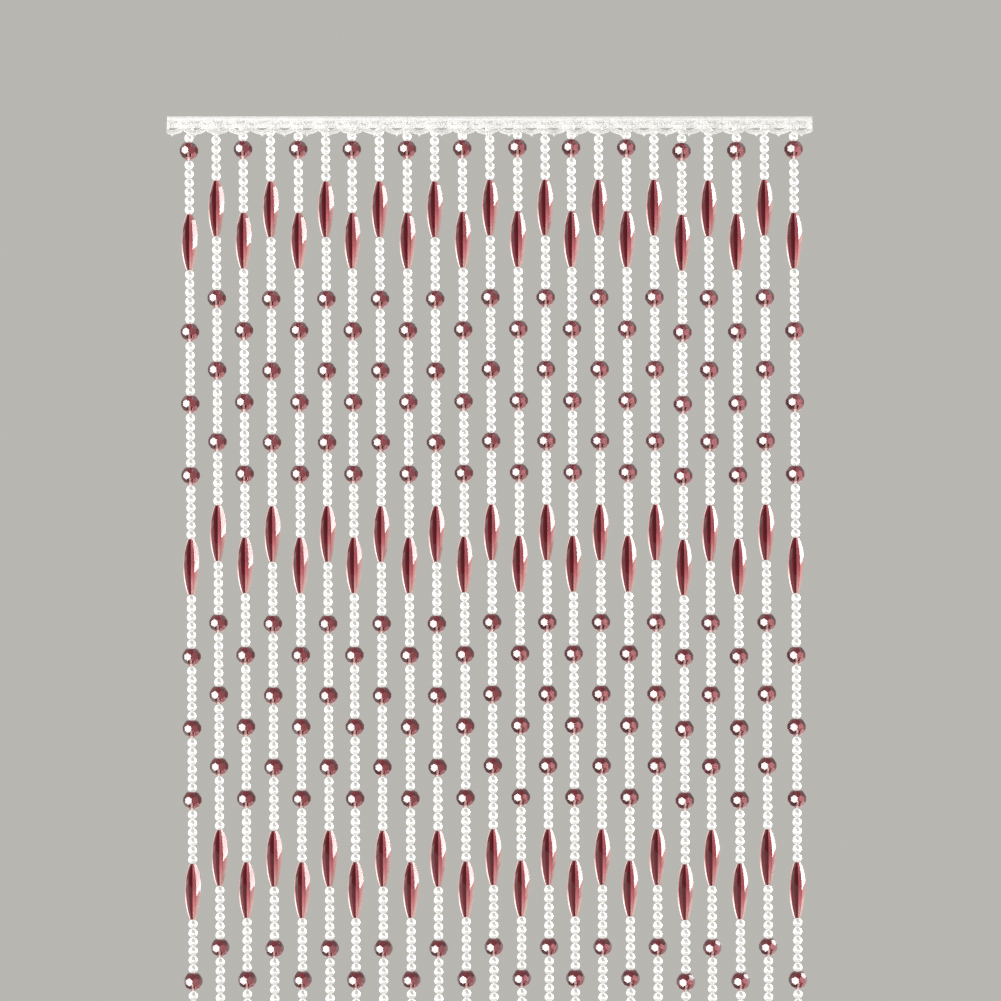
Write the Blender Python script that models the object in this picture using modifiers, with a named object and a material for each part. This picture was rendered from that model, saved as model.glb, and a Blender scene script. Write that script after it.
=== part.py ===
"""Bead curtain for a doorway: strands of pearls, faceted balls and spindles that hang from a narrow tape, with
a scalloped lace trim sewn to the tape's front.

Metres. The origin is the middle of the tape's top edge, +X is the viewer's right, -Y the front and +Z up."""

import math

import bmesh
import bpy

# Header tape
WIDTH = 0.800
TAPE_HEIGHT = 0.005
TAPE_THICKNESS = 0.0024

# Lace trim, a sheet sewn to the tape's front that hangs over the first pearls. Its scallops start with a cusp at
# the right end, and the left end cuts the last of them.
LACE_THICKNESS = 0.0012
SEWN_GAP = 0.0003
LACE_TOP = -0.002
LACE_SEAM_END = -0.0045
LACE_FLARE_END = -0.012
SLIT_TOP = -0.0148
SCALLOPS = 29
SCALLOP_PITCH = 0.02783
LACE_ROWS = 5
SLIT_ROW = 3
SLIT_STEPS = range(1, 5)
LEFT_HEM = 0.003
PEARL_CLEARANCE = 0.0009
LACE_RELAX = 0.0022

# One scallop from its left cusp: share of its width, where its slit ends below, its lower edge
LACE_STEPS = (
    (0.000, -0.0162, -0.0177),
    (0.245, -0.0155, -0.0213),
    (0.370, -0.0172, -0.0226),
    (0.500, -0.0180, -0.0248),
    (0.630, -0.0172, -0.0226),
    (0.755, -0.0155, -0.0213),
)

# Beads
PEARL_DIAMETER = 0.0115
PEARL_PITCH = 0.01113
BALL_DIAMETER = 0.0234
BALL_HEIGHT = 0.0222
SPINDLE_DIAMETER = 0.0192
SPINDLE_LENGTH = 0.069
SPINDLE_SHOULDER = 0.0225
BEAD_LENGTHS = {"pearl": PEARL_PITCH, "ball": BALL_HEIGHT, "spindle": SPINDLE_LENGTH}

# The order of the beads from the top, as (kind, how many)
REPEAT = (
    ("spindle", 1),
    ("pearl", 6),
    ("ball", 1),
    ("pearl", 6),
    ("ball", 1),
    ("pearl", 6),
    ("ball", 1),
    ("pearl", 6),
)
REPEATS = 4
BALL_FIRST = (("pearl", 2), ("ball", 1), ("pearl", 6)) + REPEAT * REPEATS + (("spindle", 1), ("pearl", 1))
SPINDLE_FIRST = (("pearl", 6),) + REPEAT * REPEATS + (("spindle", 1), ("pearl", 4))

# Strands
STRAND_PITCH = 0.034
ROW_SHIFT = -0.0003
LEAN = 0.0052
BALL_FIRST_TOP = -0.0084
SPINDLE_FIRST_TOP = -0.0129
SIDES = 4
THREAD_RADIUS = 0.0008
ROOT_TOP = -0.002

# How far each strand hangs off its even place, in millimetres, from the left: right, down
STRAND_SHIFTS = (
    (1.0, 2.0),
    (0.5, 0.0),
    (0.0, 0.0),
    (0.0, 1.0),
    (0.5, 0.0),
    (0.5, 1.0),
    (-1.0, 0.0),
    (-1.0, 1.0),
    (-0.5, 0.0),
    (-0.5, 1.0),
    (0.0, -1.0),
    (0.0, -1.0),
    (0.5, -2.0),
    (0.5, -1.0),
    (-1.0, -2.0),
    (-1.0, -1.0),
    (-0.5, -2.0),
    (-0.5, -1.0),
    (0.0, 2.5),
    (-1.0, 0.0),
    (0.0, 1.5),
    (0.5, -1.0),
    (3.0, 0.0),
)
MILLIMETRE = 0.001

# Colours, with roughness
COTTON = ((0.90, 0.89, 0.86, 1.0), 0.9)
LACE = ((0.93, 0.92, 0.90, 1.0), 0.85)
PEARL = ((0.88, 0.87, 0.84, 1.0), 0.2)
WINE = ((0.30, 0.03, 0.06, 1.0), 0.12)
TAPE_SLOT, PEARL_SLOT, WINE_SLOT = range(3)

MERGE = 0.00001


def clear_scene():
    for thing in list(bpy.data.objects):
        bpy.data.objects.remove(thing, do_unlink=True)


def new_collection(name):
    group = bpy.data.collections.new(name)
    bpy.context.scene.collection.children.link(group)
    return group


def new_material(name, finish):
    colour, roughness = finish
    material = bpy.data.materials.new(name)
    material.use_nodes = True
    shader = material.node_tree.nodes["Principled BSDF"]
    shader.inputs["Base Color"].default_value = colour
    shader.inputs["Roughness"].default_value = roughness
    shader.inputs["Metallic"].default_value = 0.0
    material.diffuse_color = colour
    return material


def new_object(name, mesh, group, materials):
    thing = bpy.data.objects.new(name, mesh)
    for material in materials:
        mesh.materials.append(material)
    group.objects.link(thing)
    return thing


def mesh_from(bm, name):
    mesh = bpy.data.meshes.new(name)
    bm.to_mesh(mesh)
    bm.free()
    return mesh


def strand_place(number):
    """A strand's place along the header, the height of its first bead's top, and its beads. Strands whose number
    is even, counted from 0, have their first ball above their first spindle."""
    right, down = STRAND_SHIFTS[number]
    middle = (len(STRAND_SHIFTS) - 1) / 2
    x = ROW_SHIFT + (number - middle) * STRAND_PITCH + right * MILLIMETRE
    if number % 2 == 0:
        return x, BALL_FIRST_TOP - down * MILLIMETRE, BALL_FIRST
    return x, SPINDLE_FIRST_TOP - down * MILLIMETRE, SPINDLE_FIRST


def strand_outline(top, beads):
    """(outline, wine spans): the strand's radius at each height, and the heights that its red beads take. A run
    of pearls is a plain square bar of their width, a ball a double cone and a spindle a long barrel."""
    pearl, ball, barrel = PEARL_DIAMETER / 2, BALL_DIAMETER / 2, SPINDLE_DIAMETER / 2
    outline = [(ROOT_TOP, 0), (ROOT_TOP, THREAD_RADIUS), (top, THREAD_RADIUS)]
    outline.append((top - PEARL_PITCH / 2, pearl))
    spans = []
    z = top
    for kind, count in beads:
        start = z
        z -= BEAD_LENGTHS[kind] * count
        if kind == "pearl":
            continue
        spans.append((z, start))
        outline.append((start, pearl))
        if kind == "ball":
            outline.append(((start + z) / 2, ball))
        else:
            outline.append((start - SPINDLE_SHOULDER, barrel))
            outline.append((z + SPINDLE_SHOULDER, barrel))
        outline.append((z, pearl))
    outline.append((z + PEARL_PITCH / 2, pearl))
    outline.append((z, 0))
    return outline, spans


def add_strand(bm, x, top, beads):
    """Turns the strand's outline in SIDES steps, with an edge to each side and to the front and back, and leans
    it to the right."""
    outline, spans = strand_outline(top, beads)
    points = [bm.verts.new((radius, 0, z)) for z, radius in outline]
    edges = [bm.edges.new(pair) for pair in zip(points, points[1:])]
    before = set(bm.faces)
    bmesh.ops.spin(
        bm, geom=points + edges, cent=(0, 0, 0), axis=(0, 0, 1), angle=math.tau, steps=SIDES, use_merge=True
    )
    faces = [face for face in bm.faces if face not in before]
    for face in faces:
        middle = face.calc_center_median().z
        red = any(low < middle < high for low, high in spans)
        face.material_index = WINE_SLOT if red else PEARL_SLOT
    for vert in {vert for face in faces for vert in face.verts}:
        vert.co.x += x - LEAN * vert.co.z


def make_strands():
    bm = bmesh.new()
    for number in range(len(STRAND_SHIFTS)):
        add_strand(bm, *strand_place(number))
    bmesh.ops.remove_doubles(bm, verts=bm.verts, dist=MERGE)
    bmesh.ops.recalc_face_normals(bm, faces=bm.faces)
    return mesh_from(bm, "strands")


def make_tape():
    bm = bmesh.new()
    bmesh.ops.create_cube(bm, size=1)
    bmesh.ops.scale(bm, vec=(WIDTH, TAPE_THICKNESS, TAPE_HEIGHT), verts=bm.verts)
    bmesh.ops.translate(bm, vec=(0, 0, -TAPE_HEIGHT / 2), verts=bm.verts)
    return mesh_from(bm, "beaded_tape")


def lace_depth(x):
    """How far forward the middle of the lace hangs: clear of the pearls at each strand, and less between two."""
    near = -(PEARL_DIAMETER / 2 + PEARL_CLEARANCE + LACE_THICKNESS / 2)
    phase = math.tau * (x - ROW_SHIFT) / STRAND_PITCH
    return near + LACE_RELAX * (1 - math.cos(phase)) / 2


def lace_place(column, row):
    """A grid point's place on the lace: rows run down from the seam over the flare and the slits to the edge."""
    scallop, step = divmod(column, len(LACE_STEPS))
    share, slit_end, edge = LACE_STEPS[step]
    x = WIDTH / 2 - (SCALLOPS - scallop - share) * SCALLOP_PITCH
    sewn = -(TAPE_THICKNESS / 2 + SEWN_GAP + LACE_THICKNESS / 2)
    y = sewn if row < 2 else lace_depth(x)
    z = (LACE_TOP, LACE_SEAM_END, LACE_FLARE_END, SLIT_TOP, slit_end, edge)[row]
    return x, y, z


def make_lace():
    """A grid laid on the scallops, open at each slit and cut off at the left end. Solidify gives it thickness."""
    columns = SCALLOPS * len(LACE_STEPS)
    bm = bmesh.new()
    bmesh.ops.create_grid(bm, x_segments=columns, y_segments=LACE_ROWS, size=0.5)
    slits = []
    for face in bm.faces:
        middle = face.calc_center_median()
        step = int((middle.x + 0.5) * columns) % len(LACE_STEPS)
        row = int((0.5 - middle.y) * LACE_ROWS)
        if row == SLIT_ROW and step in SLIT_STEPS:
            slits.append(face)
    for vert in bm.verts:
        vert.co = lace_place(round((vert.co.x + 0.5) * columns), round((0.5 - vert.co.y) * LACE_ROWS))
    left = -WIDTH / 2
    slits = [face for face in slits if min(vert.co.x for vert in face.verts) > left + LEFT_HEM]
    bmesh.ops.delete(bm, geom=slits, context="FACES_ONLY")
    whole = bm.verts[:] + bm.edges[:] + bm.faces[:]
    bmesh.ops.bisect_plane(bm, geom=whole, plane_co=(left, 0, 0), plane_no=(-1, 0, 0), clear_outer=True)
    return mesh_from(bm, "lace_trim")


def make_curtain():
    curtain = new_collection("bead_curtain")
    helpers = new_collection("bead_curtain_cutters")
    cotton = new_material("cotton_tape", COTTON)
    lace = new_material("white_lace", LACE)
    pearl = new_material("white_pearl", PEARL)
    wine = new_material("wine_acrylic", WINE)

    strands = new_object("strands_to_join", make_strands(), helpers, (cotton, pearl, wine))
    strands.hide_render = True
    strands.display_type = "WIRE"

    tape = new_object("beaded_tape", make_tape(), curtain, (cotton, pearl, wine))
    join = tape.modifiers.new("join_strands", "BOOLEAN")
    join.operation = "UNION"
    join.object = strands

    trim = new_object("lace_trim", make_lace(), curtain, (lace,))
    thickness = trim.modifiers.new("thickness", "SOLIDIFY")
    thickness.thickness = LACE_THICKNESS
    thickness.offset = 0


clear_scene()
make_curtain()
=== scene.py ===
"""Looks of the bead curtain: pearls, cut balls and cut spindles on nylon threads, which hang from a woven tape
with a scalloped lace trim.

Metres, in the row frame: the origin is the middle of the tape's top edge, +X is the viewer's right, -Y the front
and +Z up."""

import math

import bmesh
import bpy
import numpy as np
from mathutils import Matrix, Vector


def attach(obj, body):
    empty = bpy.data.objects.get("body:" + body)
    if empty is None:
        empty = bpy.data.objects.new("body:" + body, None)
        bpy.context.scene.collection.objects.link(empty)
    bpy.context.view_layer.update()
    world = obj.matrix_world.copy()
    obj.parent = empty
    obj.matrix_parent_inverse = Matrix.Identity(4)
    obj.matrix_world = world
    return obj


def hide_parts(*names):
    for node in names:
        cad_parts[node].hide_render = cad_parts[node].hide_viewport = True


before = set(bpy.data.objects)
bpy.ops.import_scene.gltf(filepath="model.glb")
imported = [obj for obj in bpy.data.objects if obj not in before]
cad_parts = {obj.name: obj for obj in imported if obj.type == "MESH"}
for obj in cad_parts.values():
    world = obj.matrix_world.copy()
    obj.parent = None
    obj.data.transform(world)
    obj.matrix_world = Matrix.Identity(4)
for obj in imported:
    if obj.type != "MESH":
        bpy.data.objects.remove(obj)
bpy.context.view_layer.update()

MM = 0.001
TINY = 1e-6

# Header tape
WIDTH = 0.800
TAPE_HEIGHT = 0.005
TAPE_THICKNESS = 0.0024
TAPE_CORNER = 0.0005
RIB_PITCH = 0.00125
RIB_DEPTH = 0.00012

# Lace trim
LACE_THICKNESS = 0.0007
CORD_LIFT = 0.0002
SEWN_GAP = 0.0003
SOLID_LACE_THICKNESS = 0.0012
LACE_TOP = -0.002
LACE_SEAM_END = -0.0045
LACE_FLARE_END = -0.012
SCALLOP_PITCH = 0.02783
SCALLOPS = 29
PEARL_CLEARANCE = 0.0009
LACE_RELAX = 0.0022
SLIT_TOP = -0.0148
SLIT_BOTTOM = -0.0180
SLIT_HALF = 0.0074
CUSP_MIDDLE = -0.0162
CUSP_EDGE = -0.0177
SCALLOP_DROP = 0.0058
LACE_COLUMNS = 28
NET_BAR = 0.25
GROUND_ROWS = 11
SLIT_ROWS = 3
BORDER_ROWS = 5
LEFT_HEM = 0.003

# The lace's open net: heights, then how far from the scallop's middle or its cusp. The fan between two nets narrows
# from its shoulder down to the slit.
SEAM_NET = (-0.0062, -0.0045)
SEAM_NET_AWAY = 0.0052
CUSP_NET = (-0.0096, -0.0070)
CUSP_NET_WIDTH = 0.0078
FAN_NET = (-0.0146, -0.0096)
FAN_NET_MARGIN = 0.0028
FAN_SHOULDER = -0.0100
FAN_HALF_ABOVE = 0.0060
FAN_HALF_BELOW = 0.0036
FAN_HEIGHT = 0.0050

# The lace's raised cords, in millimetres: radius, then heights or points, and a point is how far from the middle of
# its scallop and how high. The side cords are there once at each side of the middle.
HALF_SCALLOP = SCALLOP_PITCH / 2 / MM
HEADING_CORDS = ((0.55, -6.3), (0.40, -2.5))
SLIT_CORD = (0.50, -14.3)
SLIT_CORD_HALF = 7.8
UPPER_BORDER_CORD = 0.45
LOWER_BORDER_CORD = 0.50
BORDER_INSET = 0.5
SPOKES = range(-3, 4)
SPOKE_CORD = (0.45, ((0.85, -12.4), (1.35, -9.4), (1.80, -6.6)))
SIDE_CORDS = (
    (0.75, ((5.7, -6.5), (4.2, -8.6), (2.9, -10.6), (2.4, -12.4))),
    (0.65, ((HALF_SCALLOP - 0.7, -9.9), (HALF_SCALLOP - 0.7, -15.6))),
    (0.65, ((HALF_SCALLOP - 2.0, -9.9), (HALF_SCALLOP - 2.0, -15.6))),
    (0.40, ((6.0, -8.7), (HALF_SCALLOP, -8.9))),
    (0.60, ((0.6, -18.6), (0.7, -21.8), (0.6, -25.2))),
)
BORDER_BARS = range(1, 12)
BORDER_BAR_CORD = 0.42
BORDER_BAR_START = 1.1
BORDER_BAR_PITCH = 1.05
BORDER_BAR_INSET = 0.6
CORD_POINTS = 15
SLIT_CORD_POINTS = 9
EDGE_CORD_POINTS = 21
CORD_SIDES = 5
CORD_FLATNESS = 0.6

# Seam stitches
STITCH_PITCH = 0.0030
STITCH_LENGTH = 0.0022
STITCH_HEIGHT = -0.0036
STITCH_LIFT = 0.0003
STITCH_RADIUS = 0.00022
STITCH_STEPS = 4

# Beads
PEARL_DIAMETER = 0.0115
PEARL_PITCH = 0.01113
PEARL_SIDES = 16
PEARL_RINGS = 10
PEARL_POLE = math.radians(8)
BALL_DIAMETER = 0.0234
BALL_HEIGHT = 0.0222
BALL_SIDES = 8
BALL_GIRDLE = 0.2
BALL_RISE = 0.0012
BALL_BLANK = 1.2
SPINDLE_LENGTH = 0.069
SPINDLE_SIDES = 6
SPINDLE_STEPS = 9
SPINDLE_RADIUS = 0.0099
SPINDLE_TIP_RADIUS = 0.0037
SPINDLE_HIGH = 0.0105
SPINDLE_LOW = 0.0005
SPINDLE_CREASE = 0.28
SPINDLE_FULLNESS = 2.7
BORE_RADIUS = 0.0011
BORE_VIEW = 0.006
BORE_MARGIN = 1.01
BEAD_LENGTHS = {"pearl": PEARL_PITCH, "ball": BALL_HEIGHT, "spindle": SPINDLE_LENGTH}

# How a bead's flat faces lie: those that face at least END_UP up or down are its ends. A painted light bar, standing
# for the bore seen through the clear acrylic, goes on a ball's facets that face lower than BORE_FACET_UP and less
# than
# BORE_FACET_ASIDE to the side.
END_UP = 0.99
BORE_FACET_UP = -0.3
BORE_FACET_ASIDE = 0.4

# Painted light and shade on each facet of a ball, standing in for how the lamps light it and shine through it, by
# the height in degrees that its row faces and then from the front round to the right. The other half turn repeats
# it. Rows turned by half a facet start half a step later.
FACET_STEP = 360 / BALL_SIDES
FACET_MARGIN = 0.25
FACET_PAINTED_SHADING = {
    57: (0.18, 0.06, 0.03, 0.14),
    33: (0.18, 0.05, 0.03, 0.05),
    0: (0.32, 0.08, 0.00, 0.06),
    -33: (0.02, 0.44, 0.12, 0.00),
    -57: (0.50, 0.44, 0.14, 0.36),
}

# The order of the beads from the top, as (kind, how many)
REPEAT = (
    ("spindle", 1),
    ("pearl", 6),
    ("ball", 1),
    ("pearl", 6),
    ("ball", 1),
    ("pearl", 6),
    ("ball", 1),
    ("pearl", 6),
)
REPEATS = 4
BALL_FIRST = (("pearl", 2), ("ball", 1), ("pearl", 6)) + REPEAT * REPEATS + (("spindle", 1), ("pearl", 1))
SPINDLE_FIRST = (("pearl", 6),) + REPEAT * REPEATS + (("spindle", 1), ("pearl", 4))

# Strands
STRAND_PITCH = 0.034
ROW_SHIFT = -0.0003
LEAN = 0.0052
BALL_FIRST_TOP = -0.0084
SPINDLE_FIRST_TOP = -0.0129
THREAD_RADIUS = 0.00035
THREAD_SIDES = 6
THREAD_TOP = -0.0015
LOOP_STEPS = 12
LOOP_HUG = 0.8
LOOP_MIDDLE = 0.62
LOOP_SIDEWAYS = 0.0004
KNOT_RADIUS = 0.0011
KNOT_STEPS = 30
KNOT_DROP = 1.4
KNOT_STRETCH = 1.4

# How far each strand hangs off its even place, in millimetres, from the left: right, down
STRAND_SHIFTS = (
    (1.0, 2.0),
    (0.5, 0.0),
    (0.0, 0.0),
    (0.0, 1.0),
    (0.5, 0.0),
    (0.5, 1.0),
    (-1.0, 0.0),
    (-1.0, 1.0),
    (-0.5, 0.0),
    (-0.5, 1.0),
    (0.0, -1.0),
    (0.0, -1.0),
    (0.5, -2.0),
    (0.5, -1.0),
    (-1.0, -2.0),
    (-1.0, -1.0),
    (-0.5, -2.0),
    (-0.5, -1.0),
    (0.0, 2.5),
    (-1.0, 0.0),
    (0.0, 1.5),
    (0.5, -1.0),
    (3.0, 0.0),
)

# Camera: straight at the curtain, its view 1.2419 m wide there
VIEW_WIDTH = 1.2419
CAMERA_DISTANCE = 4.0
CAMERA_X = 0.0134
CAMERA_Z = -0.4764
SENSOR = 36.0
CLIP_END = 100

# Studio
ROOM_COLOUR = (0.48, 0.47, 0.44, 1.0)
FLOOR_Z = -1.95
FLOOR_RADIUS = 1.4
FLOOR_SIDES = 96

# Soft lights: name, azimuth, elevation, distance, width, height and power for each square metre. Azimuth 0 is the
# camera's side and 90 the viewer's right. The long highlights on the spindles come from right_back.
LIGHTS = (
    ("key", -45.0, -2.0, 10.0, 2.6, 3.9, 94.0),
    ("right_back", 111.5, 4.0, 6.6, 2.5, 5.8, 50.0),
    ("left_side", -92.0, 4.0, 3.0, 4.7, 7.0, 2.8),
    ("right_side", 95.0, 4.0, 8.0, 10.7, 18.7, 2.8),
    ("front_low", 0.0, -48.0, 4.0, 9.0, 5.4, 2.8),
    ("back_high", 180.0, 48.0, 4.0, 9.0, 4.4, 2.1),
    ("back_low", 180.0, -38.0, 4.0, 9.0, 3.6, 2.6),
)


# Scene helpers


def add_piece(name, mesh, look, slot, *nodes):
    """A visible piece of the curtain: it rides on the only body and stands for CAD nodes."""
    thing = bpy.data.objects.new(name, mesh)
    mesh.materials.append(look)
    bpy.context.scene.collection.objects.link(thing)
    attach(thing, "root")
    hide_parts(*nodes)
    return thing


def mesh_from(bm, name, smooth):
    for face in bm.faces:
        face.smooth = smooth
    mesh = bpy.data.meshes.new(name)
    bm.to_mesh(mesh)
    bm.free()
    return mesh


def read(items, key, width, kind):
    values = np.empty(len(items) * width, dtype=kind)
    items.foreach_get(key, values)
    return values


def bridge(bm, near, far):
    """Joins two rings of as many points, and gives the faces between them."""
    count = len(near)
    return [bm.faces.new((near[k], near[(k + 1) % count], far[(k + 1) % count], far[k])) for k in range(count)]


def repeated(template, name, places):
    """One mesh with a copy of the template at each place. Each face has its bead's number, and its painted light and
    shade and its place across the facet where the template gives them."""
    count = len(places)
    copy = np.arange(count)
    vertices, edges = len(template.vertices), len(template.edges)
    loops, faces = len(template.loops), len(template.polygons)
    points = read(template.vertices, "co", 3, np.float32).reshape(1, -1, 3)
    points = points + np.array(places, dtype=np.float32).reshape(-1, 1, 3)
    mesh = bpy.data.meshes.new(name)
    mesh.vertices.add(vertices * count)
    mesh.edges.add(edges * count)
    mesh.loops.add(loops * count)
    mesh.polygons.add(faces * count)
    mesh.vertices.foreach_set("co", points.ravel())
    for items, target, key, width, step in (
        (template.edges, mesh.edges, "vertices", 2, vertices),
        (template.loops, mesh.loops, "vertex_index", 1, vertices),
        (template.loops, mesh.loops, "edge_index", 1, edges),
        (template.polygons, mesh.polygons, "loop_start", 1, loops),
    ):
        once = read(items, key, width, np.int32)
        target.foreach_set(key, (once[None, :] + (copy * step)[:, None]).astype(np.int32).ravel())
    for items, target, key in (
        (template.polygons, mesh.polygons, "use_smooth"),
        (template.edges, mesh.edges, "use_edge_sharp"),
    ):
        target.foreach_set(key, np.tile(read(items, key, 1, bool), count))
    for item in template.attributes:
        if item.name == "painted_shading":
            painted_shading_data = read(item.data, "value", 1, np.float32)
            mesh.attributes.new("painted_shading", "FLOAT", "FACE").data.foreach_set("value", np.tile(painted_shading_data, count))
    if template.uv_layers:
        spread = read(template.uv_layers[0].uv, "vector", 2, np.float32)
        mesh.uv_layers.new(name="across").uv.foreach_set("vector", np.tile(spread, count))
    beads = mesh.attributes.new("bead", "FLOAT", "FACE")
    beads.data.foreach_set("value", np.repeat(copy, faces).astype(np.float32))
    mesh.update()
    mesh.validate()
    return mesh


def tube(bm, points, radius, sides, flat=1.0):
    """A cord along the points, closed at both ends. flat squeezes it towards the front. Where it runs nearly
    straight to the front or back, its side is X."""
    nearly_straight = 0.05
    rings = []
    count = len(points)
    for i, point in enumerate(points):
        along = (points[min(i + 1, count - 1)] - points[max(i - 1, 0)]).normalized()
        side = along.cross(Vector((0, 1, 0)))
        if side.length < nearly_straight:
            side = Vector((1, 0, 0))
        side.normalize()
        front = along.cross(side).normalized()
        ring = []
        for k in range(sides):
            angle = math.tau * (k + 0.5) / sides
            offset = side * (math.cos(angle) * radius) + front * (math.sin(angle) * radius * flat)
            ring.append(bm.verts.new(point + offset))
        rings.append(ring)
    for low, high in zip(rings, rings[1:]):
        bridge(bm, low, high)
    bm.faces.new(rings[0][::-1])
    bm.faces.new(rings[-1])


# Materials


class Finish:
    """A procedural material, built up from its Principled shader."""

    def __init__(self, name, **values):
        self.material = bpy.data.materials.new(name)
        self.material.use_nodes = True
        self.nodes = self.material.node_tree.nodes
        self.links = self.material.node_tree.links
        self.shader = self.nodes["Principled BSDF"]
        for key, value in values.items():
            self.shader.inputs[key.replace("_", " ")].default_value = value

    def node(self, kind, **inputs):
        made = self.nodes.new(kind)
        for key, value in inputs.items():
            socket = made.inputs[key.replace("_", " ")]
            if isinstance(value, bpy.types.NodeSocket):
                self.links.new(value, socket)
            else:
                socket.default_value = value
        return made

    def coords(self):
        return self.node("ShaderNodeTexCoord").outputs["Object"]

    def attribute(self, name):
        made = self.node("ShaderNodeAttribute")
        made.attribute_name = name
        return made.outputs["Fac"]

    def math(self, operation, a, b=0.5):
        made = self.nodes.new("ShaderNodeMath")
        made.operation = operation
        for socket, value in zip(made.inputs, (a, b)):
            if isinstance(value, bpy.types.NodeSocket):
                self.links.new(value, socket)
            else:
                socket.default_value = value
        return made.outputs[0]

    def ramp(self, value, stops):
        made = self.node("ShaderNodeValToRGB", Fac=value)
        points = made.color_ramp.elements
        while len(points) < len(stops):
            points.new(0.5)
        for point, (place, colour) in zip(points, stops):
            point.position = place
            point.color = (*colour, 1.0)
        return made.outputs["Color"]

    def noise(self, scale, detail=2.0):
        return self.node("ShaderNodeTexNoise", Vector=self.coords(), Scale=scale, Detail=detail).outputs["Fac"]

    def bump(self, height, distance, strength):
        made = self.node("ShaderNodeBump", Height=height, Distance=distance, Strength=strength)
        self.set("Normal", made.outputs["Normal"])

    def set(self, key, value):
        self.links.new(value, self.shader.inputs[key])

    def mottle(self, scale, dark, light, warm=0.0):
        """An uneven pale colour, between two levels of grey."""
        colour = self.ramp(self.noise(scale), ((0.3, grey(dark, warm)), (0.7, grey(light, warm))))
        self.set("Base Color", colour)


# Colours of the wine acrylic, from deep to clear, which the painted light and shade of the facets picks from
WINE_SHADES = (
    (0.02, (0.040, 0.001, 0.003)),
    (0.16, (0.130, 0.008, 0.016)),
    (0.45, (0.420, 0.105, 0.120)),
    (0.62, (0.440, 0.275, 0.245)),
    (0.85, (0.860, 0.590, 0.560)),
    (1.00, (0.930, 0.800, 0.770)),
)

# Painted light and shade on each of a spindle's six facets as a whole, from the front round to the right
SIDE_PAINTED_SHADING = (0.02, 0.41, -0.10, 0.02, 0.41, -0.10)

# Painted light across a spindle's long facet, standing for the bore and the far edges seen through it and for a lit
# rim: one to the front or back from its left to its right edge, then the lighter and the darker of those beside it,
# from the front or back out to the side
FRONT_PAINTED_STRIPES = ((0.00, 0.12), (0.20, 0.05), (0.36, 0.00), (0.52, 0.02), (0.58, 0.42), (0.84, 0.46), (1.00, 0.32))
LIGHTER_SIDE_PAINTED_STRIPES = ((0.00, 0.10), (0.50, 0.12), (1.00, 0.14))
DARKER_SIDE_PAINTED_STRIPES = ((0.00, 0.22), (0.45, 0.16), (0.66, 0.24), (0.78, 0.96), (1.00, 1.10))

# How much of that painted light a spindle's facets take, from the lower to the upper end. A ball's take all of
# theirs.
PAINTED_STRIPES_ALONG = ((0.00, 1.25), (0.14, 1.15), (0.28, 0.95), (0.50, 0.62), (0.75, 0.66), (0.90, 0.85), (1.00, 0.90))
EVEN = ((0.0, 1.0), (1.0, 1.0))

# Painted light on a ball's low facet: a bar where the bore would show through the clear acrylic
PAINTED_BORE_BAR = ((0.36, 0.00), (0.41, 0.60), (0.59, 0.60), (0.64, 0.00))

# Each kind of facet takes a third of the spindle's painted stripes and keeps off its neighbours by this share
STRIPE_MARGIN = 0.01

# How much lighter the acrylic's faint clouds make it
CLOUDS = 0.04


def grey(level, warm=0.0):
    """A grey with a little less green and blue where it is warm."""
    return (level, level - warm * 0.5, level - warm)


def lace_finish():
    """Bleached cotton thread: a fine twist, a soft sheen and faint unevenness."""
    finish = Finish("white_lace_look", Roughness=0.7, Sheen_Weight=0.25, Sheen_Roughness=0.4)
    finish.mottle(260, 0.72, 0.82, 0.02)
    twist = finish.node("ShaderNodeTexWave", Vector=finish.coords(), Scale=1400.0, Distortion=4.0, Detail=1.0)
    twist.bands_direction = "DIAGONAL"
    finish.bump(twist.outputs["Fac"], 0.00008, 0.7)
    return finish.material


def tape_finish():
    """Woven tape: fine warp lines along it, crossed by its ribs."""
    finish = Finish("cotton_tape_look", Roughness=0.8, Sheen_Weight=0.2, Sheen_Roughness=0.4)
    finish.mottle(180, 0.64, 0.72, 0.01)
    warp = finish.node("ShaderNodeTexWave", Vector=finish.coords(), Scale=420.0, Distortion=0.6)
    warp.bands_direction = "Z"
    weft = finish.node("ShaderNodeTexWave", Vector=finish.coords(), Scale=252.0, Distortion=0.3)
    weft.bands_direction = "X"
    finish.bump(finish.math("MULTIPLY", warp.outputs["Fac"], weft.outputs["Fac"]), 0.0001, 0.8)
    return finish.material


def pearl_finish():
    """Pearl lacquer on plastic: it mirrors the room softly under a thin coat, and each bead has its own shade."""
    finish = Finish("white_pearl_look", Metallic=0.75, Roughness=0.17, Coat_Weight=0.15, Coat_Roughness=0.1)
    shade = finish.math("ADD", finish.noise(140, 1.0), finish.math("SINE", finish.attribute("bead")))
    shade = finish.math("MULTIPLY", shade, 0.5)
    finish.set("Base Color", finish.ramp(shade, ((0.0, grey(0.90, 0.01)), (1.0, grey(0.96, 0.02)))))
    return finish.material


def levels(stops):
    """The stops of a colour ramp that gives plain numbers."""
    return [(place, grey(level)) for place, level in stops]


def spindle_painted_stripes():
    """The painted stripes of a spindle's three kinds of facet, one kind after the other."""
    painted_stripes = []
    for number, facet in enumerate((FRONT_PAINTED_STRIPES, LIGHTER_SIDE_PAINTED_STRIPES, DARKER_SIDE_PAINTED_STRIPES)):
        for place, level in facet:
            painted_stripes.append(((number + STRIPE_MARGIN + (1 - 2 * STRIPE_MARGIN) * place) / 3, level))
    return painted_stripes


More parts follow.
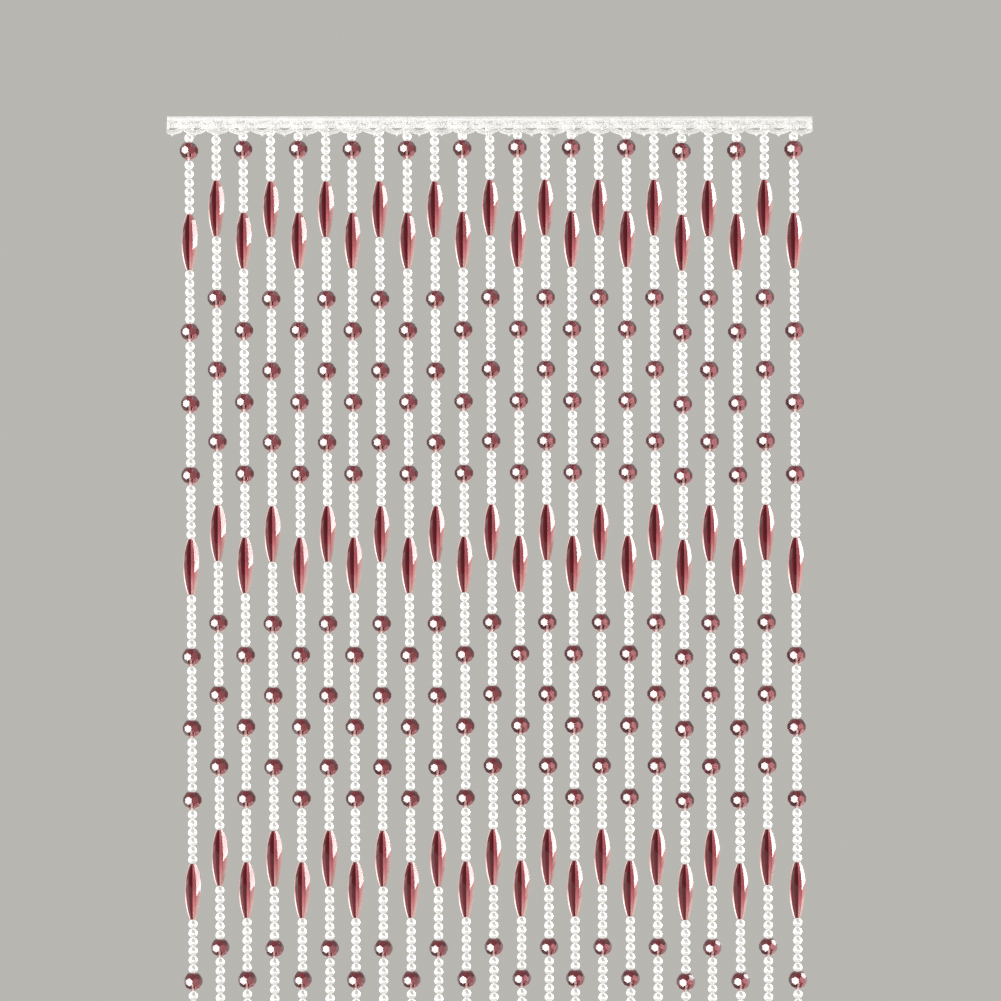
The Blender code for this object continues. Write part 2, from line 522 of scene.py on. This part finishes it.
def wine_finish(name, gloss, clear, painted_stripes, ends):
    """Wine-coloured clear acrylic. Each facet carries painted light and shade, and painted stripes across it, which
    may change from end to end, stand for the bore and the far side seen through it."""
    finish = Finish(
        name,
        Roughness=0.03,
        IOR=1.49,
        Specular_IOR_Level=gloss,
        Transmission_Weight=clear,
        Coat_Weight=0.06,
        Coat_Roughness=0.02,
    )
    # Painted light and shade of the facets, the acrylic's faint clouds and the painted stripes make up its base
    # colour.
    painted_shading = finish.attribute("painted_shading")
    painted_shading = finish.math("ADD", painted_shading, finish.math("MULTIPLY", finish.noise(90, 1.0), CLOUDS))
    place = finish.node("ShaderNodeSeparateXYZ", Vector=finish.node("ShaderNodeUVMap").outputs["UV"])
    across = finish.ramp(place.outputs["X"], levels(painted_stripes))
    along = finish.ramp(place.outputs["Y"], levels(ends))
    painted_shading = finish.math("ADD", painted_shading, finish.math("MULTIPLY", across, along))
    finish.set("Base Color", finish.ramp(painted_shading, WINE_SHADES))
    return finish.material


def nylon_finish():
    """Clear nylon thread, a little milky where it was drawn."""
    finish = Finish("nylon_thread_look", Roughness=0.3, IOR=1.53, Transmission_Weight=0.35)
    finish.mottle(400, 0.82, 0.92)
    return finish.material


# Beads


def pearl_mesh():
    """A round bead that is pierced and a little flatter than wide."""
    last = PEARL_RINGS - 1
    widest = math.cos((math.pi / 2 - PEARL_POLE) / last)
    bm = bmesh.new()
    rows = []
    for ring in range(PEARL_RINGS):
        angle = PEARL_POLE + (math.pi - 2 * PEARL_POLE) * ring / last
        radius = PEARL_DIAMETER / 2 * math.sin(angle) / widest
        z = PEARL_PITCH / 2 * math.cos(angle) / math.cos(PEARL_POLE)
        row = []
        for k in range(PEARL_SIDES):
            turn = math.tau * (k + 0.5) / PEARL_SIDES
            row.append(bm.verts.new((radius * math.sin(turn), -radius * math.cos(turn), z)))
        rows.append(row)
    for high, low in zip(rows, rows[1:]):
        for k in range(PEARL_SIDES):
            after = (k + 1) % PEARL_SIDES
            bm.faces.new((high[k], low[k], low[after], high[after]))
    bmesh.ops.recalc_face_normals(bm, faces=bm.faces)
    return mesh_from(bm, "pearl", True)


def pierce(bm, faces):
    """Opens a bore between two flat end faces of the same number of sides."""
    sides = len(faces[0].verts)
    rims = []
    for face in faces:
        z = face.calc_center_median().z
        rim = []
        for vert in face.verts:
            turn = math.atan2(vert.co.x, -vert.co.y)
            place = (BORE_RADIUS * math.sin(turn), -BORE_RADIUS * math.cos(turn), z)
            rim.append((turn, bm.verts.new(place), vert))
        rim.sort(key=lambda item: item[0])
        rims.append(rim)
    bmesh.ops.delete(bm, geom=faces, context="FACES_ONLY")
    for rim in rims:
        for k in range(sides):
            following = rim[(k + 1) % sides]
            bm.faces.new((rim[k][2], following[2], following[1], rim[k][1]))
    for k in range(sides):
        a, b = rims[0][k][1], rims[0][(k + 1) % sides][1]
        c, d = rims[1][(k + 1) % sides][1], rims[1][k][1]
        bm.faces.new((a, b, c, d))


def ball_planes():
    """(direction, distance) of each cut: eight facets round the middle with an edge to the front, and two rows of
    eight above and below, each turned by half a facet. The corners all touch one sphere, and those of the middle
    facets are BALL_GIRDLE of its radius high."""
    sphere = BALL_DIAMETER / 2
    half = math.pi / BALL_SIDES
    corner_z = sphere * BALL_GIRDLE
    corner_r = math.sqrt(sphere**2 - corner_z**2)
    planes = [(0.0, half, corner_r * math.cos(half))]
    low = (corner_r * math.cos(half), math.sqrt(sphere**2 - (corner_r * math.cos(half)) ** 2))
    slope = math.atan2(corner_r - low[0] * math.cos(half), low[1] - corner_z)
    distance = corner_r * math.cos(slope) + corner_z * math.sin(slope)
    planes.append((slope, 0.0, distance))
    top = 2 * slope - math.asin(corner_z / sphere)
    middle = math.atan2(math.sin(slope), math.cos(slope) * math.cos(half))
    side = 2 * middle - math.asin(low[1] / sphere)
    shoulder = (sphere * math.cos(side), sphere * math.sin(side))
    crown = (sphere * math.cos(top) * math.cos(half), sphere * math.sin(top))
    last = math.atan2(shoulder[0] - crown[0], crown[1] - shoulder[1])
    planes.append((last, half, shoulder[0] * math.cos(last) + shoulder[1] * math.sin(last)))
    cuts = []
    for latitude, turn, distance in planes:
        for k in range(BALL_SIDES):
            angle = turn + math.tau * k / BALL_SIDES
            for sign in (1, -1) if latitude else (1,):
                way = Vector((math.sin(angle), -math.cos(angle), 0)) * math.cos(latitude)
                way.z = sign * math.sin(latitude)
                cuts.append((way, distance))
    return cuts


def facet_painted_shading(way):
    """The painted light and shade of a facet that faces this way."""
    height = math.degrees(math.asin(way.z))
    row = min(FACET_PAINTED_SHADING, key=lambda latitude: abs(latitude - height))
    turn = math.degrees(math.atan2(way.x, -way.y)) % 180
    return FACET_PAINTED_SHADING[row][int(turn / FACET_STEP + FACET_MARGIN) % len(FACET_PAINTED_SHADING[row])]


def dress_ball(mesh):
    """Gives each facet its painted light and shade, and the low facets in front and behind the place of a painted
    bar that stands for the bore seen through them.
    """
    painted_shading_data = mesh.attributes.new("painted_shading", "FLOAT", "FACE")
    spread = mesh.uv_layers.new(name="across").uv
    for face in mesh.polygons:
        way = face.normal
        painted_shading_data.data[face.index].value = facet_painted_shading(way)
        bore_painted = way.z < BORE_FACET_UP and abs(way.x) < BORE_FACET_ASIDE
        for loop in face.loop_indices:
            x = mesh.vertices[mesh.loops[loop].vertex_index].co.x
            spread[loop].vector = (min(max(0.5 + x / (2 * BORE_VIEW), 0), 1) if bore_painted else 0, 0)


def ball_mesh():
    """A ball cut plane by plane from a block that is wider by BALL_BLANK, with a bore from top to bottom."""
    bm = bmesh.new()
    bmesh.ops.create_cube(bm, size=BALL_HEIGHT)
    stretch = BALL_BLANK * BALL_DIAMETER / BALL_HEIGHT
    bmesh.ops.scale(bm, vec=(stretch, stretch, 1), verts=bm.verts)
    girdle = Vector((0, 0, BALL_RISE))
    for way, distance in ball_planes():
        whole = bm.verts[:] + bm.edges[:] + bm.faces[:]
        place = girdle + way * distance
        cut = bmesh.ops.bisect_plane(bm, geom=whole, plane_co=place, plane_no=way, clear_outer=True)
        rim = [item for item in cut["geom_cut"] if isinstance(item, bmesh.types.BMEdge)]
        if rim:
            bmesh.ops.contextual_create(bm, geom=rim)
    ends = [face for face in bm.faces if abs(face.normal.z) > END_UP]
    pierce(bm, ends)
    bmesh.ops.recalc_face_normals(bm, faces=bm.faces)
    mesh = mesh_from(bm, "ball", False)
    dress_ball(mesh)
    return mesh


def spindle_mesh():
    """A long six-sided bead, flat to the front. Its six edges are widest high and low by turns, and a crease runs
    zigzag round it there."""
    half = SPINDLE_LENGTH / 2
    bm = bmesh.new()
    rows = []
    for step in range(-SPINDLE_STEPS, SPINDLE_STEPS + 1):
        share = abs(step) / SPINDLE_STEPS
        taper = SPINDLE_CREASE * share + (1 - SPINDLE_CREASE) * share**SPINDLE_FULLNESS
        radius = SPINDLE_RADIUS - (SPINDLE_RADIUS - SPINDLE_TIP_RADIUS) * taper
        row = []
        for k in range(SPINDLE_SIDES):
            turn = math.radians(360 * (k - 0.5) / SPINDLE_SIDES)
            widest = SPINDLE_HIGH if k % 2 == 0 else SPINDLE_LOW
            z = widest + share * (half - widest) if step >= 0 else widest - share * (half + widest)
            row.append(bm.verts.new((radius * math.sin(turn), -radius * math.cos(turn), z)))
        rows.append(row)
    # Each face carries its facet's painted light and shade, and each corner its place for the painted stripes.
    spread = bm.loops.layers.uv.new("across")
    side = bm.faces.layers.float.new("painted_shading")
    for step, (low, high) in enumerate(zip(rows, rows[1:])):
        for k, face in enumerate(bridge(bm, low, high)):
            beside = k % 3
            for loop, (across, up) in zip(face.loops, ((0, 0), (1, 0), (1, 1), (0, 1))):
                outward = across if beside < 2 else 1 - across
                loop[spread].uv = ((outward + beside) / 3, (step + up) / (2 * SPINDLE_STEPS))
            face[side] = SIDE_PAINTED_SHADING[k]
    for row in (rows[0], rows[SPINDLE_STEPS], rows[-1]):
        for k in range(SPINDLE_SIDES):
            bm.edges.get((row[k], row[(k + 1) % SPINDLE_SIDES])).smooth = False
    for k in range(SPINDLE_SIDES):
        for low, high in zip(rows, rows[1:]):
            bm.edges.get((low[k], high[k])).smooth = False
    ends = [bm.faces.new(rows[0][::-1]), bm.faces.new(rows[-1])]
    pierce(bm, ends)
    for edge in bm.edges:
        if all(math.hypot(vert.co.x, vert.co.y) < BORE_RADIUS * BORE_MARGIN for vert in edge.verts):
            edge.smooth = False
    bmesh.ops.recalc_face_normals(bm, faces=bm.faces)
    return mesh_from(bm, "spindle", True)


# Strands


def strand_place(number):
    """A strand's place along the header, the height of its first bead's top, and its beads. Strands whose number
    is even, counted from 0, have their first ball above their first spindle."""
    right, down = STRAND_SHIFTS[number]
    middle = (len(STRAND_SHIFTS) - 1) / 2
    x = ROW_SHIFT + (number - middle) * STRAND_PITCH + right * MM
    if number % 2 == 0:
        return x, BALL_FIRST_TOP - down * MM, BALL_FIRST
    return x, SPINDLE_FIRST_TOP - down * MM, SPINDLE_FIRST


def bead_places(number):
    """Where the middle of each bead of a strand hangs, by kind, and the height of its lower end."""
    x, z, beads = strand_place(number)
    places = {kind: [] for kind in BEAD_LENGTHS}
    for kind, count in beads:
        for _ in range(count):
            z -= BEAD_LENGTHS[kind] / 2
            places[kind].append((x - LEAN * z, 0.0, z))
            z -= BEAD_LENGTHS[kind] / 2
    return places, z


def thread_mesh(number, low):
    """The strand's thread, from a loop round the tape down through its beads to a knot below the last."""
    x = strand_place(number)[0]
    bm = bmesh.new()
    hanging = [Vector((x - LEAN * z, 0, z)) for z in (THREAD_TOP, low - KNOT_RADIUS)]
    around = TAPE_THICKNESS / 2 + THREAD_RADIUS * LOOP_HUG
    loop = []
    for step in range(LOOP_STEPS + 1):
        turn = math.tau * step / LOOP_STEPS
        z = -TAPE_HEIGHT * LOOP_MIDDLE + TAPE_HEIGHT * 0.5 * math.cos(turn)
        loop.append(Vector((x + LOOP_SIDEWAYS * math.sin(turn / 2), around * math.sin(turn), z)))
    centre = Vector((x - LEAN * low, 0, low - KNOT_RADIUS * KNOT_DROP))
    knot = []
    for step in range(KNOT_STEPS + 1):
        turn = math.tau * step / KNOT_STEPS
        wide = 2 + math.cos(3 * turn)
        high = KNOT_STRETCH * math.sin(3 * turn)
        place = Vector((wide * math.cos(2 * turn), wide * math.sin(2 * turn), high))
        knot.append(centre + place * KNOT_RADIUS / 3)
    for line in (hanging, loop, knot):
        tube(bm, line, THREAD_RADIUS, THREAD_SIDES)
    return mesh_from(bm, "thread", True)


def make_strands(pearl_look, ball_look, spindle_look, nylon_look):
    pearl, ball, spindle = pearl_mesh(), ball_mesh(), spindle_mesh()
    for number in range(len(STRAND_SHIFTS)):
        places, low = bead_places(number)
        name = f"strand_{number + 1:02d}"
        for mesh, kind, look, slot in (
            (pearl, "pearl", pearl_look, "white_pearl"),
            (ball, "ball", ball_look, "wine_acrylic"),
            (spindle, "spindle", spindle_look, "wine_acrylic"),
        ):
            title = f"{name}_{kind}s"
            beads = add_piece(title, repeated(mesh, title, places[kind]), look, slot, "beaded_tape")
            beads.visible_glossy = False
        add_piece(f"{name}_thread", thread_mesh(number, low), nylon_look, "nylon_thread", "beaded_tape")


# Tape and lace


def make_tape(look):
    """A woven ribbon with rounded edges. Its ribs run from edge to edge."""
    half_y, half_z, corner = TAPE_THICKNESS / 2, TAPE_HEIGHT / 2, TAPE_CORNER
    outline = []
    for sign_y, sign_z in ((1, 1), (1, -1), (-1, -1), (-1, 1)):
        for turn in (0, 45, 90) if sign_y * sign_z < 0 else (90, 45, 0):
            y = sign_y * (half_y - corner + corner * math.cos(math.radians(turn)))
            z = sign_z * (half_z - corner + corner * math.sin(math.radians(turn)))
            outline.append((y, z))
    columns = round(WIDTH / RIB_PITCH) * 2
    bm = bmesh.new()
    rows = []
    for column in range(columns + 1):
        x = -WIDTH / 2 + WIDTH * column / columns
        inward = 1 if column % 2 == 0 else 1 - 2 * RIB_DEPTH / TAPE_THICKNESS
        rows.append([bm.verts.new((x, y * inward, z - half_z)) for y, z in outline])
    for left, right in zip(rows, rows[1:]):
        bridge(bm, left, right)
    bm.faces.new(rows[0])
    bm.faces.new(rows[-1][::-1])
    bmesh.ops.recalc_face_normals(bm, faces=bm.faces)
    add_piece("tape", mesh_from(bm, "tape", True), look, "cotton_tape", "beaded_tape")


def lace_depth(x, z):
    """How far forward the middle of the lace hangs: flat on the tape, then clear of the pearls at each strand, and
    less between two."""
    sewn = -(TAPE_THICKNESS / 2 + SEWN_GAP + SOLID_LACE_THICKNESS / 2)
    near = -(PEARL_DIAMETER / 2 + PEARL_CLEARANCE + SOLID_LACE_THICKNESS / 2)
    near += LACE_RELAX * (1 - math.cos(math.tau * (x - ROW_SHIFT) / STRAND_PITCH)) / 2
    share = (LACE_SEAM_END - z) / (LACE_SEAM_END - LACE_FLARE_END)
    share = min(max(share, 0.0), 1.0)
    return sewn + (near - sewn) * share


def from_centre(x):
    """How far x is from the middle of its scallop."""
    count = (WIDTH / 2 - x) / SCALLOP_PITCH
    return (math.floor(count) + 0.5 - count) * SCALLOP_PITCH


def lace_edge(away):
    """The lace's lower edge, by how far from the scallop's middle."""
    share = min(abs(away) / (SCALLOP_PITCH / 2), 1.0)
    return CUSP_EDGE - SCALLOP_DROP * math.sqrt(1 - share)


def lace_middle(away):
    """The lower edge of the slit, which goes on to the cusps as the border's upper edge."""
    share = abs(away) / SLIT_HALF
    if share < 1:
        return SLIT_BOTTOM + (SLIT_TOP - SLIT_BOTTOM) * share**2
    beyond = (abs(away) - SLIT_HALF) / (SCALLOP_PITCH / 2 - SLIT_HALF)
    return SLIT_TOP + (CUSP_MIDDLE - SLIT_TOP) * beyond


def lace_height(away, row):
    """The height of a row of the lace's grid: the ground above the slits, then the slits, then the border."""
    if row <= GROUND_ROWS:
        low = row + NET_BAR * (row % 2) * (row < GROUND_ROWS)
        return LACE_TOP + (SLIT_TOP - LACE_TOP) * low / GROUND_ROWS
    middle = lace_middle(away)
    if row <= GROUND_ROWS + SLIT_ROWS:
        return SLIT_TOP + (middle - SLIT_TOP) * (row - GROUND_ROWS) / SLIT_ROWS
    share = (row - GROUND_ROWS - SLIT_ROWS) / BORDER_ROWS
    return middle + (lace_edge(away) - middle) * share


def is_net(away, z):
    """Where the lace is open net: a band under the seam, a cell over each cusp, and both sides of the fan."""
    beside = SCALLOP_PITCH / 2 - abs(away)
    if SEAM_NET[0] < z < SEAM_NET[1]:
        return abs(away) > SEAM_NET_AWAY
    if beside < CUSP_NET_WIDTH and CUSP_NET[0] < z < CUSP_NET[1]:
        return True
    fan_half = FAN_HALF_ABOVE if z > FAN_SHOULDER else FAN_HALF_BELOW
    outside = abs(away) > fan_half * (z - SLIT_TOP) / FAN_HEIGHT
    return FAN_NET[0] < z < FAN_NET[1] and outside and beside > FAN_NET_MARGIN


def make_lace(look):
    """The lace's ground, and the area of its cloth: solid cloth, net and slits on a grid that follows the
    scallops."""
    columns = SCALLOPS * LACE_COLUMNS
    rows = GROUND_ROWS + SLIT_ROWS + BORDER_ROWS
    left = -WIDTH / 2
    bm = bmesh.new()
    grid = []
    for column in range(columns + 1):
        x = WIDTH / 2 - SCALLOP_PITCH * (SCALLOPS - (column + NET_BAR * (column % 2)) / LACE_COLUMNS)
        away = from_centre(x + SCALLOP_PITCH * TINY)
        heights = [lace_height(away, row) for row in range(rows + 1)]
        grid.append([bm.verts.new((x, lace_depth(x, z), z)) for z in heights])
    for column in range(columns):
        for row in range(rows):
            corners = (
                grid[column][row],
                grid[column][row + 1],
                grid[column + 1][row + 1],
                grid[column + 1][row],
            )
            middle = sum((vert.co for vert in corners), Vector()) / 4
            away = from_centre(middle.x)
            slit = GROUND_ROWS <= row < GROUND_ROWS + SLIT_ROWS and abs(away) < SLIT_HALF
            open_net = row < GROUND_ROWS and column % 2 and row % 2 and is_net(away, middle.z)
            if (slit or open_net) and middle.x > left + LEFT_HEM:
                continue
            bm.faces.new(corners)
    whole = bm.verts[:] + bm.edges[:] + bm.faces[:]
    bmesh.ops.bisect_plane(bm, geom=whole, plane_co=(left, 0, 0), plane_no=(-1, 0, 0), clear_outer=True)
    loose = [vert for vert in bm.verts if not vert.link_faces]
    bmesh.ops.delete(bm, geom=loose, context="VERTS")
    area = sum(face.calc_area() for face in bm.faces)
    lace = add_piece("lace_ground", mesh_from(bm, "lace_ground", True), look, "white_lace", "lace_trim")
    thickness = lace.modifiers.new("thickness", "SOLIDIFY")
    thickness.thickness = LACE_THICKNESS
    thickness.offset = 0
    return lace, area


def lace_strokes():
    """The raised cords of one scallop, as (radius, points): each point is how far from the scallop's middle and how
    high, in millimetres."""
    wide = np.linspace(-HALF_SCALLOP, HALF_SCALLOP, CORD_POINTS)
    slit = np.linspace(-SLIT_CORD_HALF, SLIT_CORD_HALF, SLIT_CORD_POINTS)
    edge = np.linspace(-HALF_SCALLOP, HALF_SCALLOP, EDGE_CORD_POINTS)
    strokes = [(radius, [(u, z) for u in wide]) for radius, z in HEADING_CORDS]
    strokes.append((SLIT_CORD[0], [(u, SLIT_CORD[1]) for u in slit]))
    strokes.append((UPPER_BORDER_CORD, [(u, lace_middle(u * MM) / MM - BORDER_INSET) for u in wide]))
    strokes.append((LOWER_BORDER_CORD, [(u, lace_edge(u * MM) / MM + BORDER_INSET) for u in edge]))
    radius, points = SPOKE_CORD
    for spoke in SPOKES:
        strokes.append((radius, [(spoke * u, z) for u, z in points]))
    for side in (-1, 1):
        for radius, points in SIDE_CORDS:
            strokes.append((radius, [(side * u, z) for u, z in points]))
        for bar in BORDER_BARS:
            u = side * (BORDER_BAR_START + bar * BORDER_BAR_PITCH)
            upper, lower = lace_middle(u * MM) / MM, lace_edge(u * MM) / MM
            strokes.append((BORDER_BAR_CORD, [(u, upper - BORDER_BAR_INSET), (u, lower + BORDER_INSET)]))
    return strokes


def make_lace_cords(look):
    """The lace's raised cords: its heading, fans, bars, border and picots, on the front of the ground."""
    bm = bmesh.new()
    strokes = lace_strokes()
    for scallop in range(SCALLOPS):
        centre = WIDTH / 2 - (scallop + 0.5) * SCALLOP_PITCH
        for radius, points in strokes:
            line = []
            for u, z in points:
                x = centre + u * MM
                if abs(x) <= WIDTH / 2 + TINY:
                    line.append(Vector((x, lace_depth(x, z * MM) - LACE_THICKNESS / 2 - CORD_LIFT, z * MM)))
            if len(line) > 1:
                tube(bm, line, radius * MM, CORD_SIDES, CORD_FLATNESS)
    bmesh.ops.recalc_face_normals(bm, faces=bm.faces)
    return add_piece("lace_cords", mesh_from(bm, "lace_cords", True), look, "white_lace", "lace_trim")


def make_stitches(look):
    """The seam that holds the lace on the tape: short stitches with a small gap between two."""
    bm = bmesh.new()
    for number in range(int(WIDTH / STITCH_PITCH)):
        x = -WIDTH / 2 + (number + 0.5) * STITCH_PITCH
        line = []
        for step in range(STITCH_STEPS + 1):
            along = step / STITCH_STEPS
            at = x + (along - 0.5) * STITCH_LENGTH
            lift = STITCH_LIFT * math.sin(math.pi * along)
            y = lace_depth(at, STITCH_HEIGHT) - LACE_THICKNESS / 2 - lift
            line.append(Vector((at, y, STITCH_HEIGHT)))
        tube(bm, line, STITCH_RADIUS, CORD_SIDES)
    return add_piece("seam_stitches", mesh_from(bm, "seam_stitches", True), look, "white_lace", "lace_trim")


# Studio


def make_floor():
    bm = bmesh.new()
    bmesh.ops.create_circle(bm, cap_ends=True, segments=FLOOR_SIDES, radius=FLOOR_RADIUS)
    bmesh.ops.translate(bm, vec=(0, 0, FLOOR_Z), verts=bm.verts)
    finish = Finish("floor_look", Roughness=0.6)
    finish.mottle(3, 0.53, 0.57, 0.02)
    floor = bpy.data.objects.new("floor", mesh_from(bm, "floor", False))
    floor.data.materials.append(finish.material)
    bpy.context.scene.collection.objects.link(floor)


def softbox(name, azimuth, elevation, distance, width, height, power):
    """A soft light that looks at the middle of what the camera sees, and that the camera doesn't see."""
    turn, rise = math.radians(azimuth), math.radians(elevation)
    way = Vector((math.sin(turn) * math.cos(rise), -math.cos(turn) * math.cos(rise), math.sin(rise)))
    light = bpy.data.lights.new(name, "AREA")
    light.shape = "RECTANGLE"
    light.size, light.size_y = width, height
    light.energy = power * width * height
    box = bpy.data.objects.new(name, light)
    box.location = Vector((0, 0, CAMERA_Z)) + way * distance
    box.rotation_mode = "QUATERNION"
    box.rotation_quaternion = way.to_track_quat("Z", "Y")
    box.visible_camera = False
    bpy.context.scene.collection.objects.link(box)


def make_studio():
    scene = bpy.context.scene
    lens = bpy.data.cameras.new("camera")
    lens.sensor_width = SENSOR
    lens.lens = SENSOR * CAMERA_DISTANCE / VIEW_WIDTH
    lens.clip_end = CLIP_END
    camera = bpy.data.objects.new("camera", lens)
    camera.location = (CAMERA_X, -CAMERA_DISTANCE, CAMERA_Z)
    camera.rotation_euler = (math.radians(90), 0, 0)
    scene.collection.objects.link(camera)
    scene.camera = camera
    world = bpy.data.worlds.new("plain_room")
    world.use_nodes = True
    world.node_tree.nodes["Background"].inputs["Color"].default_value = ROOM_COLOUR
    scene.world = world
    scene.view_settings.view_transform = "Standard"
    for light in LIGHTS:
        softbox(*light)


make_studio()
lace_look = lace_finish()
# The wine beads' base colours carry painted light and shade, and painted stripes for what shows through them.
make_strands(
    pearl_finish(),
    wine_finish("wine_ball_look", gloss=0.30, clear=0.4, painted_stripes=PAINTED_BORE_BAR, ends=EVEN),
    wine_finish("wine_spindle_look", gloss=0.22, clear=0.08, painted_stripes=spindle_painted_stripes(), ends=PAINTED_STRIPES_ALONG),
    nylon_finish(),
)
make_tape(tape_finish())
lace_ground, lace_area = make_lace(lace_look)
lace_cords = make_lace_cords(lace_look)
seam_stitches = make_stitches(lace_look)
make_floor()

bpy.context.view_layer.update()
